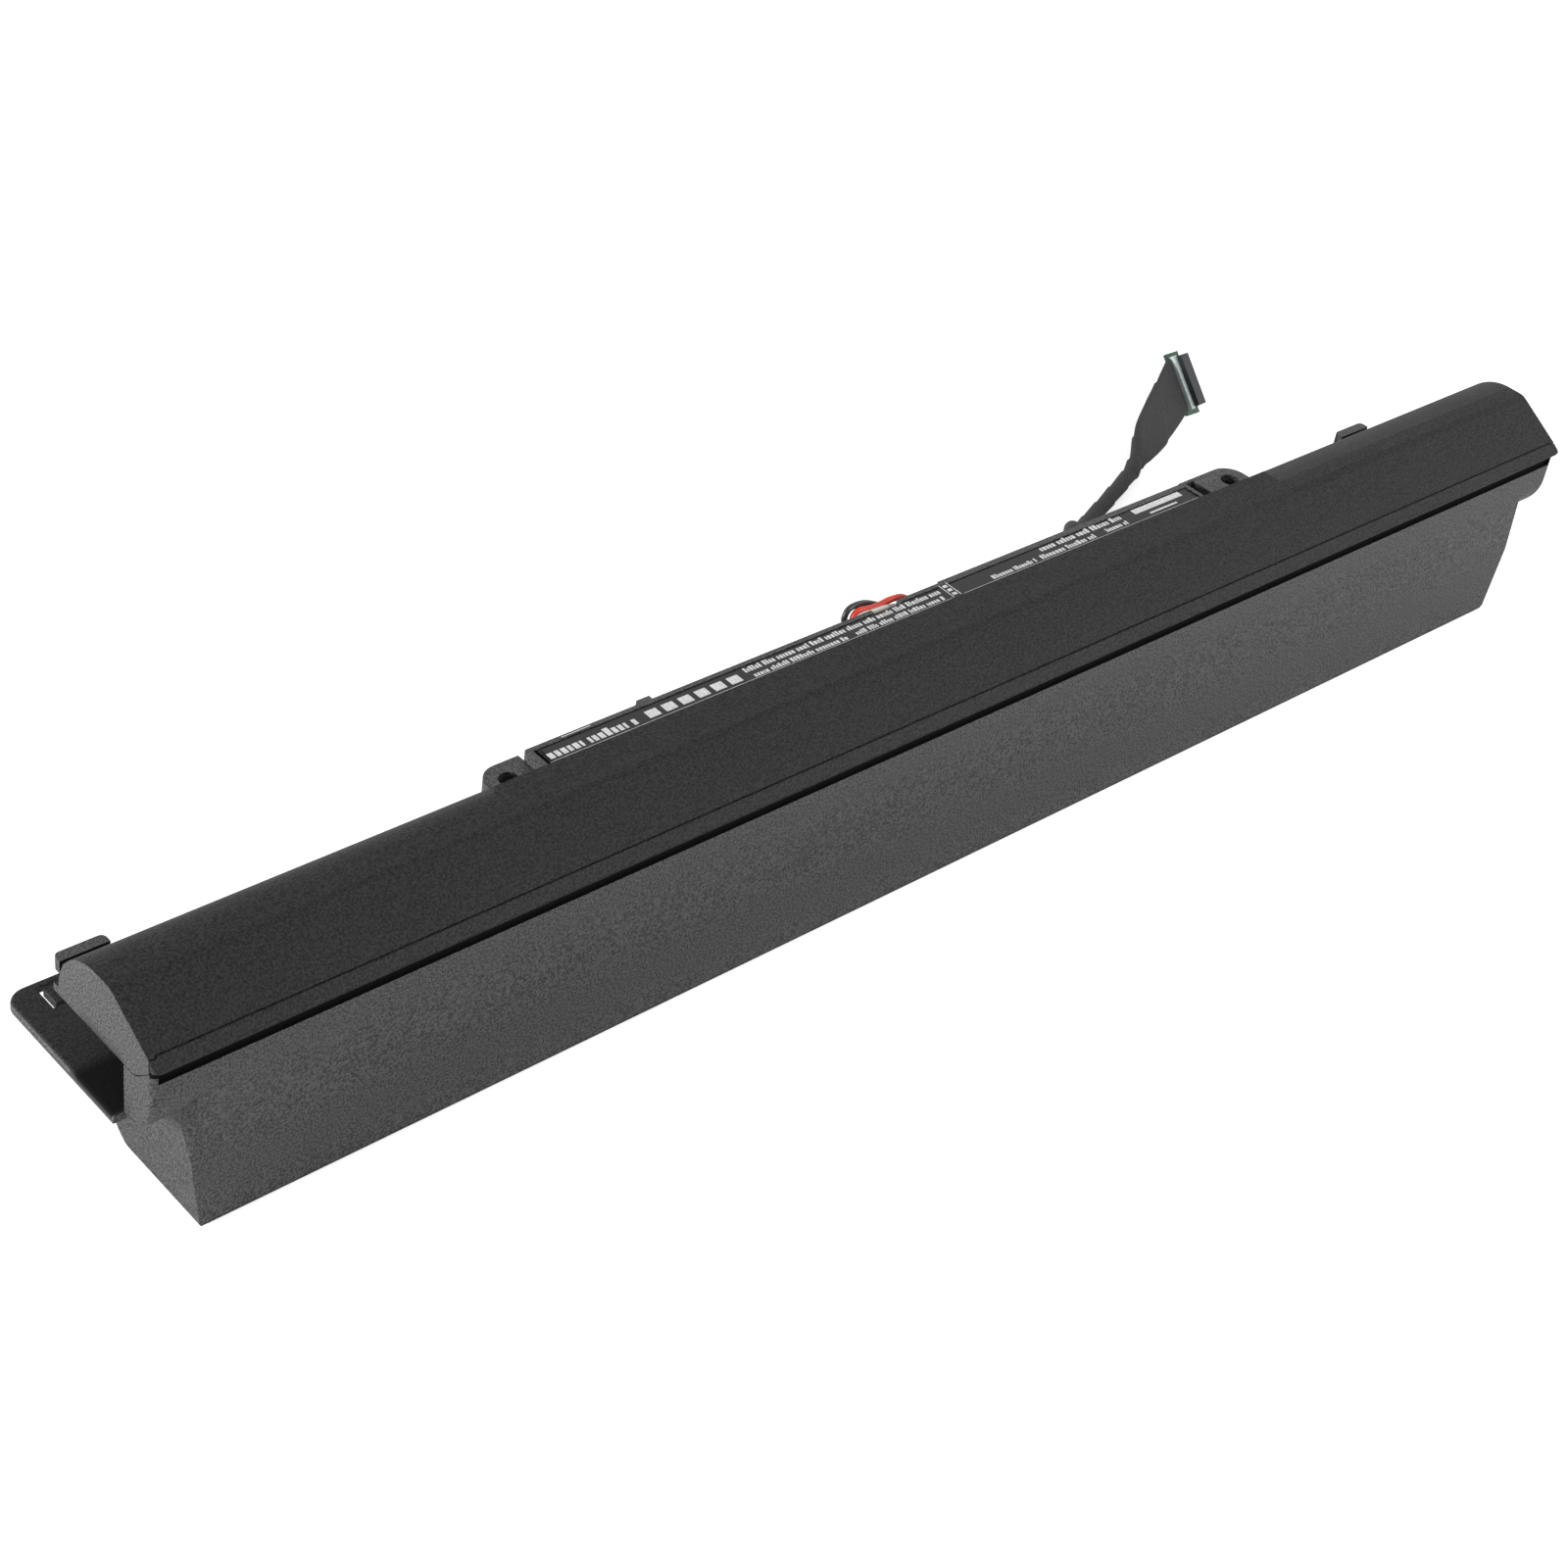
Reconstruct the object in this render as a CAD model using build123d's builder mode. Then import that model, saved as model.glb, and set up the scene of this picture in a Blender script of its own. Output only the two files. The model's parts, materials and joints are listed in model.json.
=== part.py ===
"""A laptop battery pack: six round cells in a moulded case, with its output cable and plug.

+X runs along the pack, -Y is its outer front face and +Z is up. The origin is on the
surface that the pack stands on, under the middle of the case. Sizes are millimetres.
"""

import math
import os

from build123d import *

os.makedirs("parts", exist_ok=True)


# Cells, the sizes that drive the case around them
cell_diameter = 18.2
cell_length = 65.0
cell_play = 0.1
cell_nib_radius = 3.2
cell_nib_height = 0.5
cell_crimp_depth = 0.6
cell_crimp_width = 1.2
cell_crimp_inset = 2.2
ring_thickness = 0.2
ring_margin = 0.5
ring_sides = 18
upper_row_gap = 5.65

# Welded strips at the cell ends
strip_thickness = 0.3
strip_play = 0.1
strip_pad_length = 9.0
strip_pad_width = 7.0
strip_slot_length = 5.0
strip_slot_width = 0.8
strip_ear_width = 3.0

# Case walls
case_wall = 0.8
end_wall = 1.0
seam = 0.15

# Foot that holds the lower row of cells
foam_thickness = 5.35
foot_front_play = 0.25
foot_back_play = 0.25
foot_end_lean = 2.3
foot_back_radius = 7.0
foot_front_radius = 1.4
foot_corner_radius = 2.0
foot_facet_width = 1.3
foot_facet_length = 16.0
bottom_cover_height = 1.2

# Front wall with its lip, and the rounded beam behind it
cover_fall = 5.3
lip_depth = 1.6
lip_rise = 1.2
lip_nose = 0.35
lip_undercut = 1.6
lip_overhang = 0.8
front_lean = 0.5
beam_depth = 7.3
cap_overhang = 5.1
cap_edge_radius = 1.0

# Plate that reaches out behind the foot
plate_play = 0.4
plate_thickness = 1.3
plate_depth = 34.5
plate_overhang = 1.6
plate_corner_radius = 3.0
plate_edge_radius = 0.6

# Bay that holds the upper row of cells
bay_step = 1.0
bay_play = 0.4
bay_end_play = 0.55
pad_proud = 0.3

# Cover that closes the top
cover_gap = 0.1
groove_width = 0.35
skirt_height = 3.0
crease_depth = 10.3
crease_radius = 3.0
cover_back_edge = 17.4
panel_gap = 0.3
panel_side_gap = 0.55
hem_depth = 1.2
barrel_radius = 9.0
barrel_rib_count = 3
barrel_rib_height = 1.2
barrel_rib_thickness = 0.9
end_facet_height = 29.0
end_facet_tip_depth = 4.8
end_facet_tip_rise = 2.6

# Screw tabs beside the bay
screw_inset = 9.0
screw_depth = 20.2
screw_hole_diameter = 3.3
screw_boss_diameter = 6.8
screw_boss_height = 4.6
screw_tab_thickness = 2.4
screw_tab_radius = 3.7
right_tab_drop = 0.8
left_tab_drop = 1.8
tab_pocket_width = 2.7
tab_pocket_rim = 0.6
tab_room = 5.0

# Hooks on the rear edge of the plate
hook_inset = 11.2
hook_width = 7.7
hook_reach = 2.5
hook_root = 1.0
hook_rise = 0.9
hook_slot_width = 0.7
hook_slot_depth = 1.1
hook_corner_radius = 0.9

# Snap tongue cut in the left end of the plate
tongue_inset = 3.4
tongue_length = 5.0
tongue_margin = 1.9
tongue_width = 3.2
tongue_slot = 0.8

# Notch in the rear wall of the bay for the wires
notch_width = 5.5
notch_height = 3.8

# Nub on the rear wall of the bay
nub_inset = 21.9
nub_width = 2.4
nub_proud = 0.8
nub_height = 2.0

# Label on the panel
label_thickness = 0.15
label_margin = 0.5

# Circuit board between the two rows
board_thickness = 0.8
board_height = 8.0
board_drop = 0.65
board_left_margin = 2.9
board_right_margin = 0.45
board_hole_inset = 4.0
board_hole_diameter = 1.6

# What the board carries: places along the board, then length, height, thickness and bevel
chip_rise = 0.1
transistor_xs = [-20.0, -12.5]
transistor_size = (6.0, 4.8, 1.4, 0.25)
gauge_xs = [16.0]
gauge_size = (8.0, 4.4, 1.1, 0.2)
fuse_xs = [34.0]
fuse_size = (9.0, 4.0, 1.3, 0.3)
resistor_xs = [25.5]
resistor_size = (5.0, 3.0, 0.7, 0.1)
capacitor_xs = [-48.0, -44.5, -41.0, 6.0, 44.0, 47.5]
capacitor_size = (2.0, 1.3, 0.9, 0.1)
bead_x = -32.0
bead_length = 4.0
bead_radius = 0.95
bead_stand = 2.6
bead_leg_pitch = 2.0
bead_leg_radius = 0.25

# Leads, wires and cable
lead_diameter = 1.2
low_lane_depth = 2.7
low_lane_drop = 1.15
high_lane_depth = 4.3
high_lane_rise = 0.85
wire_sides = 6
wire_clearance = 0.03
cable_diameter = 3.0
cable_sides = 10

# Flat end of the cable and its plug
flare_thickness = 1.6
flare_start_size = 2.6
plug_board_length = 13.0
plug_board_thickness = 0.9
plug_board_reach = 3.3
plug_body_length = 10.6
plug_body_thickness = 2.6
plug_body_reach = 2.0
plug_strip_length = 11.2
plug_strip_thickness = 1.3
plug_strip_reach = 0.9

# Depths and heights that follow from the cells and the walls
cell_radius = cell_diameter / 2
overall_depth = plate_depth + hook_reach
front = -overall_depth / 2
foot_cell_y = front + lip_overhang + front_lean + case_wall + foot_front_play + cell_radius
foot_back = foot_cell_y - front + cell_radius + foot_back_play + case_wall
bay_depth = foot_back + bay_step
bay_cell_y = front + bay_depth - case_wall - bay_play - cell_radius
lower_cell_z = case_wall + cell_play + cell_radius
upper_cell_z = lower_cell_z + cell_diameter + cell_play
plate_height = lower_cell_z + cell_radius + plate_play
plate_top = plate_height + plate_thickness
panel_under = upper_cell_z + cell_radius + cell_play
panel_top = panel_under + case_wall
cover_under = panel_top + cover_gap
cover_top = cover_under + case_wall
cap_centre_z = plate_height + beam_depth
groove_height = cover_top - cover_fall
lip_height = groove_height - lip_rise
undercut_height = lip_undercut - lip_nose
undercut_radius = (undercut_height**2 / lip_overhang + lip_overhang) / 2
barrel_y = front + bay_depth - barrel_radius
barrel_z = cover_top - barrel_radius
slope = (cover_top - groove_height) / (crease_depth - lip_depth)
slope_drop = case_wall * math.hypot(1, slope)
crease_inner_depth = lip_depth + (cover_under - groove_height + slope_drop) / slope
beam_wall_top = groove_height + (beam_depth - case_wall - lip_depth) * slope - slope_drop - cover_gap

# Places along the pack that follow from the rows of cells
cell_gap = strip_thickness + 2 * strip_play
cell_pitch = cell_length + cell_gap
row_end = 2 * cell_pitch - cell_gap / 2
lower_starts = [place * cell_pitch - row_end for place in range(4)]
upper_starts = [lower_starts[2] - upper_row_gap - cell_length, lower_starts[2]]
foot_half_length = row_end + cell_gap + foam_thickness + end_wall
foot_half_top = foot_half_length + foot_end_lean
half_length = foot_half_top + cap_overhang
bay_inner_left = upper_starts[0] - cell_gap
bay_left = bay_inner_left - case_wall
bay_inner_right = upper_starts[1] + cell_length + strip_play + strip_thickness + bay_end_play
bay_right = bay_inner_right + case_wall
screw_x = bay_right + screw_inset
tab_reach = screw_x + tab_room
hook_x = half_length - hook_inset
tongue_x = tongue_inset - half_length
nub_x = bay_left + nub_inset
notch_x = upper_starts[1] - upper_row_gap / 2
board_left = bay_inner_left + board_left_margin
board_right = upper_starts[1] + cell_length + strip_play - board_right_margin

# Valleys between the two rows, where the leads and the board lie
valley_z = (lower_cell_z + upper_cell_z) / 2
low_lane = (front + low_lane_depth, valley_z - low_lane_drop)
high_lane = (front + high_lane_depth, valley_z + high_lane_rise)
board_y = front + foot_back - case_wall - strip_play / 2 - board_thickness
board_z = valley_z - board_height / 2 - board_drop
chip_z = board_z + board_height / 2 + chip_rise


def front_at(height):
    """Y of the drafted front face at a height above the floor."""
    return front + lip_overhang + front_lean * (1 - height / lip_height)


def cover_outer_at(depth):
    """Height of the cover's sloped outer face at a depth behind the lip."""
    return groove_height + (depth - lip_depth) * slope


def save(piece, name):
    piece.part.label = name
    export_step(piece.part, f"parts/{name}.step")


def facet_plane(side):
    """Plane of the narrow facet that takes off a front corner at the top of the foot."""
    low = Vector(side * foot_half_top, front_at(plate_height), plate_height - foot_facet_length)
    across = Vector(side * (foot_half_top - foot_facet_width), low.Y, plate_height)
    behind = Vector(side * foot_half_top, low.Y + foot_facet_width, plate_height)
    return Plane(origin=low, z_dir=(across - low).cross(behind - low) * side)


# Outer form of the foot and front wall, shared by the housing and the bottom cover
with BuildPart() as foot_form:
    with BuildSketch(Plane.YZ):
        with BuildLine():
            Polyline(
                (front_at(0), 0),
                (front + foot_back, 0),
                (front + foot_back, plate_top),
                (front + beam_depth, plate_top),
                (front + beam_depth, lip_height),
                (front_at(lip_height), lip_height),
                close=True,
            )
        make_face()
        fillet(vertices().group_by(Axis.Y)[0].sort_by(Axis.X)[0], foot_front_radius)
        fillet(vertices().group_by(Axis.Y)[0].sort_by(Axis.X)[-1], foot_back_radius)
    extrude(amount=foot_half_top, both=True)
    with BuildSketch(Plane.XZ):
        with BuildLine():
            Polyline(
                (-foot_half_length, 0),
                (foot_half_length, 0),
                (foot_half_top, plate_height),
                (foot_half_top, lip_height),
                (-foot_half_top, lip_height),
                (-foot_half_top, plate_height),
                close=True,
            )
        make_face()
        fillet(vertices().group_by(Axis.Y)[0], foot_corner_radius)
    extrude(amount=overall_depth, both=True, mode=Mode.INTERSECT)
    for side in (-1, 1):
        split(bisect_by=facet_plane(side), keep=Keep.TOP)


# Room inside the foot, open at the top where the bay stands over it
with BuildPart() as foot_room:
    with BuildSketch(Plane.YZ):
        with BuildLine():
            Polyline(
                (front_at(0) + case_wall, case_wall),
                (front + foot_back - case_wall, case_wall),
                (front + foot_back - case_wall, plate_height),
                (front_at(plate_height) + case_wall, plate_height),
                close=True,
            )
        make_face()
    extrude(amount=foot_half_top, both=True)
    with BuildSketch(Plane.XZ):
        with BuildLine():
            Polyline(
                (-foot_half_length + end_wall, 0),
                (foot_half_length - end_wall, 0),
                (foot_half_top - end_wall, plate_height),
                (-foot_half_top + end_wall, plate_height),
                close=True,
            )
        make_face()
    extrude(amount=overall_depth, both=True, mode=Mode.INTERSECT)
    room_edge = foot_room.edges().filter_by(Axis.X).group_by(Axis.Z)[0].sort_by(Axis.Y)[-1]
    fillet(room_edge, foot_back_radius - case_wall)
    for side in (-1, 1):
        split(bisect_by=facet_plane(side).offset(end_wall), keep=Keep.TOP)


# Outline of the cover's end facet, grown by a gap where the housing makes room for it
def facet_outline(gap):
    with BuildLine() as outline:
        arc_start = (barrel_y, cover_top + gap)
        arc_end = (front + bay_depth + gap, barrel_z)
        hem_back = front + bay_depth + hem_depth + gap
        Polyline(
            arc_start,
            (front + crease_depth - gap, cover_top + gap),
            (front + lip_depth - gap, groove_height),
            (front + lip_depth - gap, end_facet_height + end_facet_tip_rise),
            (front + end_facet_tip_depth - gap, end_facet_height - gap),
            (hem_back, end_facet_height - gap),
            (hem_back, barrel_z),
            arc_end,
        )
        RadiusArc(arc_end, arc_start, -barrel_radius - gap)
    return outline


# Plate behind the foot, its free upper edges rounded
with BuildPart() as rear_plate:
    with BuildSketch(Plane.XY.offset(plate_height)):
        with Locations((0, front + (beam_depth + plate_depth) / 2)):
            Rectangle(2 * (half_length + plate_overhang), plate_depth - beam_depth)
        corners = vertices().group_by(Axis.Y)[-1]
        fillet(corners, plate_corner_radius)
    extrude(amount=plate_thickness)
    free_edges = rear_plate.edges().group_by(Axis.Z)[-1].sort_by(Axis.Y)[1:]
    fillet(free_edges, plate_edge_radius)


# Beam behind the lip: undercut lip, round underside, rounded ends
with BuildPart() as front_beam:
    with BuildSketch(Plane.YZ):
        with BuildLine():
            Polyline(
                (front + beam_depth, plate_height),
                (front + beam_depth, beam_wall_top),
                (front + beam_depth - case_wall, beam_wall_top),
                (front + beam_depth - case_wall, groove_height),
                (front + lip_depth, groove_height),
                (front, lip_height),
                (front, lip_height - lip_nose),
            )
            RadiusArc(
                (front, lip_height - lip_nose),
                (front + lip_overhang, lip_height - lip_undercut),
                undercut_radius,
            )
            Line(
                (front + lip_overhang, lip_height - lip_undercut),
                (front + lip_overhang, cap_centre_z),
            )
            RadiusArc(
                (front + lip_overhang, cap_centre_z),
                (front + beam_depth, plate_height),
                -beam_depth,
            )
        make_face()
    extrude(amount=half_length, both=True)
    cap_edges = [
        edge
        for edge in front_beam.edges()
        if abs(abs(edge.center().X) - half_length) < seam and edge.center().Z < lip_height - lip_nose
    ]
    cap_edges = [edge for edge in cap_edges if edge.center().Y < front + beam_depth - seam]
    fillet(cap_edges, cap_edge_radius)


# Housing: foot walls, front beam with rounded end caps, plate, cell bay, tabs and hooks
with BuildPart() as main_housing:
    add(foot_form.part)
    split(bisect_by=Plane.XY.offset(bottom_cover_height), keep=Keep.TOP)

    add(front_beam.part)
    add(rear_plate.part)

    with BuildSketch(Plane.YZ.offset(bay_left)):
        with BuildLine():
            rib_depth = beam_depth / 2
            Polyline(
                (front + rib_depth, plate_height),
                (front + bay_depth, plate_height),
                (front + bay_depth, panel_top),
                (front + crease_inner_depth, panel_top),
                (front + rib_depth, cover_outer_at(rib_depth) - slope_drop - cover_gap),
                close=True,
            )
        make_face()
    extrude(amount=bay_right - bay_left)

    add(foot_room.part, mode=Mode.SUBTRACT)

    with BuildSketch(Plane.YZ):
        with BuildLine():
            Polyline(
                (front + beam_depth - case_wall, plate_top),
                (front + beam_depth - case_wall, groove_height),
                (front + lip_depth + case_wall / 2, groove_height),
                (front + lip_overhang + case_wall, lip_height - case_wall),
                (front + lip_overhang + case_wall, cap_centre_z),
            )
            RadiusArc(
                (front + lip_overhang + case_wall, cap_centre_z),
                (front + beam_depth - case_wall, plate_top),
                -(beam_depth - case_wall),
            )
        make_face()
    extrude(amount=half_length - end_wall, both=True, mode=Mode.SUBTRACT)

    with BuildSketch(Plane.YZ.offset(bay_inner_left)):
        with BuildLine():
            Polyline(
                (front_at(lip_height) + case_wall, plate_height - case_wall),
                (front + foot_back - case_wall, plate_height - case_wall),
                (front + foot_back - case_wall, plate_top),
                (front + bay_depth - case_wall, plate_top),
                (front + bay_depth - case_wall, cover_top),
                (front + lip_depth + case_wall / 2, cover_top),
                (front + lip_depth + case_wall / 2, groove_height),
                (front_at(lip_height) + case_wall, lip_height - case_wall),
                close=True,
            )
        make_face()
    extrude(amount=bay_inner_right - bay_inner_left, mode=Mode.SUBTRACT)

    for side, drop, bay_end in ((-1, left_tab_drop, bay_left), (1, right_tab_drop, bay_right)):
        tab_top = panel_top - drop
        root_x = side * abs(bay_end)
        with BuildSketch(Plane.XY.offset(tab_top)) as tab_sketch:
            with BuildLine():
                tab_front = front + cover_back_edge - 1.6
                tab_back = front + screw_depth + screw_tab_radius
                tip_x = side * (screw_x + screw_tab_radius)
                Polyline(
                    (root_x, tab_front),
                    (tip_x, tab_front),
                    (tip_x, tab_back),
                    (root_x, tab_back),
                    close=True,
                )
            make_face()
            tip = vertices().group_by(Axis.Y)[-1].sort_by(Axis.X)[-1 if side > 0 else 0]
            fillet(tip, screw_tab_radius - 0.1)
        extrude(amount=-screw_tab_thickness)
        with BuildSketch(Plane.XY.offset(tab_top)):
            with Locations((side * screw_x, front + screw_depth)):
                Circle(screw_boss_diameter / 2)
        extrude(amount=-screw_boss_height)
        with Locations((side * screw_x, front + screw_depth, tab_top)):
            Hole(screw_hole_diameter / 2, depth=screw_boss_height)

    pocket_left = bay_right + tab_pocket_rim / 2
    with BuildSketch(Plane.XY.offset(panel_top)):
        pocket_front = cover_back_edge + 0.6
        pocket_back = screw_depth + screw_tab_radius - tab_pocket_rim
        with Locations(
            (pocket_left + tab_pocket_width / 2, front + (pocket_front + pocket_back) / 2)
        ):
            Rectangle(tab_pocket_width, pocket_back - pocket_front)
    extrude(amount=-(right_tab_drop + screw_tab_thickness + 1), mode=Mode.SUBTRACT)

    for side in (-1, 1):
        hook_length = hook_root + hook_reach
        with BuildSketch(Plane.XY.offset(plate_height)):
            with Locations((side * hook_x, front + overall_depth - hook_length / 2)):
                Rectangle(hook_width, hook_length)
            fillet(vertices().group_by(Axis.Y)[-1], hook_corner_radius)
        extrude(amount=plate_thickness + hook_rise)
        with Locations((side * hook_x, front + plate_depth + hook_slot_width / 2, plate_top)):
            Box(hook_width + 1, hook_slot_width, 2 * hook_slot_depth, mode=Mode.SUBTRACT)

    tongue_centre = front + plate_depth - tongue_margin - tongue_width / 2
    with BuildSketch(Plane.XY.offset(plate_height)):
        outer_length = tongue_length + tongue_slot
        with Locations((tongue_x - tongue_slot + outer_length / 2, tongue_centre)):
            Rectangle(outer_length, tongue_width + 2 * tongue_slot)
        with Locations((tongue_x + tongue_length / 2 + tongue_slot, tongue_centre)):
            Rectangle(tongue_length + 2 * tongue_slot, tongue_width, mode=Mode.SUBTRACT)
    extrude(amount=plate_thickness, mode=Mode.SUBTRACT)

    with BuildSketch(Plane.XY.offset(panel_top)):
        with Locations((nub_x, front + bay_depth)):
            Rectangle(nub_width, 2 * nub_proud)
    extrude(amount=-nub_height)

    pad_start = upper_starts[1] + screw_inset
    with BuildSketch(Plane.XY.offset(panel_top)):
        with Locations(((pad_start + bay_right) / 2, front + bay_depth)):
            Rectangle(bay_right - pad_start, 2 * pad_proud)
    extrude(amount=plate_top - panel_top)

    with BuildSketch(Plane.XY.offset(panel_top)):
        with Locations((notch_x, front + bay_depth)):
            Rectangle(notch_width, 3 * case_wall)
    extrude(amount=-notch_height, mode=Mode.SUBTRACT)

    for side in (-1, 1):
        facet_plane = Plane.YZ.offset(side * half_length)
        with BuildSketch(facet_plane):
            add(facet_outline(seam).line)
            make_face()
        extrude(amount=-side * (end_wall + seam), mode=Mode.SUBTRACT)

save(main_housing, "main_housing")


# Bottom cover: the floor of the foot, with a rib that locates it in the front wall
with BuildPart() as bottom_cover:
    add(foot_form.part)
    split(bisect_by=Plane.XY.offset(bottom_cover_height - seam), keep=Keep.BOTTOM)
    add(foot_room.part, mode=Mode.SUBTRACT)
    rib_front = front_at(bottom_cover_height) + case_wall + seam
    with BuildSketch(Plane.XY.offset(case_wall)):
        with Locations((0, rib_front + case_wall / 2)):
            Rectangle(2 * (foot_half_length - 2 * end_wall), case_wall)
    extrude(amount=2 * case_wall)

save(bottom_cover, "bottom_cover")


# Cover: sloped and flat skin, round rear over the hinges, closed ends, label panel
with BuildPart() as cover_form:
    edge_depth = lip_depth + groove_width / math.hypot(1, slope)
    skirt_depth = edge_depth + case_wall
    skirt_back = skirt_depth + case_wall
    with BuildSketch(Plane.YZ):
        with BuildLine():
            Polyline(
                (front + edge_depth, cover_outer_at(edge_depth)),
                (front + crease_depth, cover_top),
                (barrel_y, cover_top),
                (barrel_y, cover_under),
                (front + crease_inner_depth, cover_under),
                (front + skirt_back, cover_outer_at(skirt_back) - slope_drop),
                (front + skirt_back, groove_height - skirt_height),
                (front + skirt_depth, groove_height - skirt_height),
                (front + skirt_depth, groove_height),
                (front + edge_depth, groove_height + cover_gap),
                close=True,
            )
        make_face()
    extrude(amount=half_length, both=True)

    with BuildSketch(Plane.YZ):
        with Locations((((barrel_y + front + cover_back_edge) / 2), cover_top - case_wall / 2)):
            Rectangle(front + cover_back_edge - barrel_y, case_wall)
    extrude(amount=tab_reach, both=True)

    panel_left = bay_inner_left + panel_side_gap
    panel_right = bay_inner_right - panel_side_gap
    panel_back = front + bay_depth - case_wall - panel_gap
    with BuildSketch(Plane.YZ.offset(panel_left)):
        with BuildLine():
            Polyline(
                (front + cover_back_edge, cover_top),
                (front + cover_back_edge, panel_top),
                (panel_back, panel_top),
                (panel_back, panel_under),
                (front + cover_back_edge - case_wall, panel_under),
                (front + cover_back_edge - case_wall, cover_top),
                close=True,
            )
        make_face()
    extrude(amount=panel_right - panel_left)

    for side in (-1, 1):
        with BuildSketch(Plane.YZ.offset(side * tab_reach)):
            with BuildLine():
                outer_end = (front + bay_depth, barrel_z)
                inner_end = (front + bay_depth - case_wall, barrel_z)
                RadiusArc((barrel_y, cover_top), outer_end, barrel_radius)
                Polyline(
                    outer_end,
                    (front + bay_depth + hem_depth, barrel_z),
                    (front + bay_depth + hem_depth, barrel_z - case_wall),
                    (front + bay_depth - case_wall, barrel_z - case_wall),
                    inner_end,
                )
                RadiusArc(inner_end, (barrel_y, cover_under), -(barrel_radius - case_wall))
                Line((barrel_y, cover_under), (barrel_y, cover_top))
            make_face()
        extrude(amount=side * (half_length - tab_reach))

        closing_depth = beam_depth + 2 * seam
        with BuildSketch(Plane.YZ.offset(side * tab_reach)):
            with BuildLine():
                Polyline(
                    (barrel_y, cover_top),
                    (front + crease_depth, cover_top),
                    (front + closing_depth, cover_outer_at(closing_depth)),
                    (front + closing_depth, barrel_z - case_wall),
                    (front + bay_depth, barrel_z - case_wall),
                    (front + bay_depth, barrel_z),
                )
                RadiusArc((front + bay_depth, barrel_z), (barrel_y, cover_top), -barrel_radius)
            make_face()
        extrude(amount=side * case_wall)

        rib_pitch = (half_length - tab_reach) / (barrel_rib_count + 1)
        for rib in range(barrel_rib_count):
            rib_start = side * (tab_reach + (rib + 1) * rib_pitch)
            rib_radius = barrel_radius - case_wall - barrel_rib_height
            with BuildSketch(Plane.YZ.offset(rib_start)):
                with BuildLine():
                    Line((barrel_y, barrel_z + rib_radius), (barrel_y, cover_under))
                    RadiusArc(
                        (barrel_y, cover_under),
                        (front + bay_depth - case_wall, barrel_z),
                        barrel_radius - case_wall,
                    )
                    Line((front + bay_depth - case_wall, barrel_z), (barrel_y + rib_radius, barrel_z))
                    RadiusArc(
                        (barrel_y + rib_radius, barrel_z),
                        (barrel_y, barrel_z + rib_radius),
                        -rib_radius,
                    )
                make_face()
            extrude(amount=side * barrel_rib_thickness)

        with BuildSketch(Plane.YZ.offset(side * half_length)):
            add(facet_outline(0).line)
            make_face()
        extrude(amount=-side * end_wall)

    crease_spot = Vector(0, front + crease_depth, cover_top)
    crease = [
        edge
        for edge in cover_form.edges().filter_by(Axis.X)
        if (edge.center() - crease_spot).cross(Vector(1, 0, 0)).length < cover_gap
    ]
    fillet(crease, crease_radius)


# The cover's middle with the panel, and the hollow length over each hinge
with BuildPart() as top_cover:
    add(cover_form.part)
    split(bisect_by=Plane.YZ.offset(tab_reach), keep=Keep.BOTTOM)
    split(bisect_by=Plane.YZ.offset(-tab_reach), keep=Keep.TOP)

save(top_cover, "top_cover")

for side_name, side, kept in (("left", -1, Keep.BOTTOM), ("right", 1, Keep.TOP)):
    with BuildPart() as hinge_cover:
        add(cover_form.part)
        split(bisect_by=Plane.YZ.offset(side * tab_reach), keep=kept)
    save(hinge_cover, f"hinge_cover_{side_name}")


# Label on the panel behind the cover
with BuildPart() as rating_label:
    with BuildSketch(Plane.XY.offset(panel_top)):
        label_front = front + cover_back_edge + label_margin / 2
        label_back = panel_back - label_margin / 2
        with Locations(((panel_left + panel_right) / 2, (label_front + label_back) / 2)):
            Rectangle(panel_right - panel_left - 2 * label_margin, label_back - label_front)
    extrude(amount=label_thickness)

save(rating_label, "rating_label")


def make_cells(name, starts, y, z, nib_sides):
    """One row of round cells, each with its positive nib towards its own side."""
    with BuildPart() as cells:
        for start_x, nib_side in zip(starts, nib_sides):
            base_x = start_x if nib_side > 0 else start_x + cell_length
            base = Plane(origin=(base_x, y, z), x_dir=(0, 0, 1), z_dir=(0, nib_side, 0))
            shoulder = cell_length - cell_nib_height
            crimp_top = shoulder - cell_crimp_inset
            with BuildSketch(base):
                with BuildLine():
                    Polyline(
                        (0, 0),
                        (cell_radius, 0),
                        (cell_radius, crimp_top - cell_crimp_width),
                        (cell_radius - cell_crimp_depth, crimp_top - cell_crimp_width / 2),
                        (cell_radius, crimp_top),
                        (cell_radius, shoulder),
                        (cell_nib_radius, shoulder),
                        (cell_nib_radius, cell_length),
                        (0, cell_length),
                        close=True,
                    )
                make_face()
            revolve(axis=Axis((base_x, y, z), (nib_side, 0, 0)))
    save(cells, name)


# Cells: four in the foot, two in the bay with room for the wires between them
lower_nibs = (-1, 1, 1, -1)
upper_nibs = (1, -1)
make_cells("lower_cells", lower_starts, foot_cell_y, lower_cell_z, lower_nibs)
make_cells("upper_cells", upper_starts, bay_cell_y, upper_cell_z, upper_nibs)


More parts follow.
